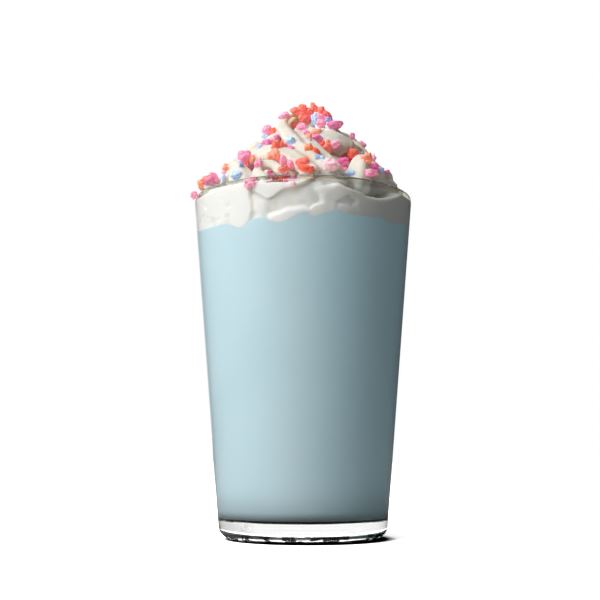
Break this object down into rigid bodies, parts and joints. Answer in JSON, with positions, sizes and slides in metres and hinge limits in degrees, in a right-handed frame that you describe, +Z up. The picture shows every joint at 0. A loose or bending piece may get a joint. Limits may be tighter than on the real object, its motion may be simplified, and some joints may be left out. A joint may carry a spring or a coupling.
{
  "type": "milkshake",
  "caption": "Pale blue milkshake in a plain tapered glass, heaped with whipped cream and scattered with candy crumbs.",
  "frame": {"origin": "centre of the glass's foot, on the surface it stands on", "axes": "+Z up along the glass's axis, -Y towards the viewer of the picture, +X to that viewer's right"},
  "size_m": [0.0838, 0.0838, 0.1659],
  "materials": {
    "glass": "clear and smooth",
    "shake": "smooth milky drink seen through glass",
    "cream": "soft satin whipped cream with rough candy crumbs"
  },
  "bodies": {
    "root": {"glass": "glass", "shake": "shake", "cream": "cream"}
  },
  "joints": []
}
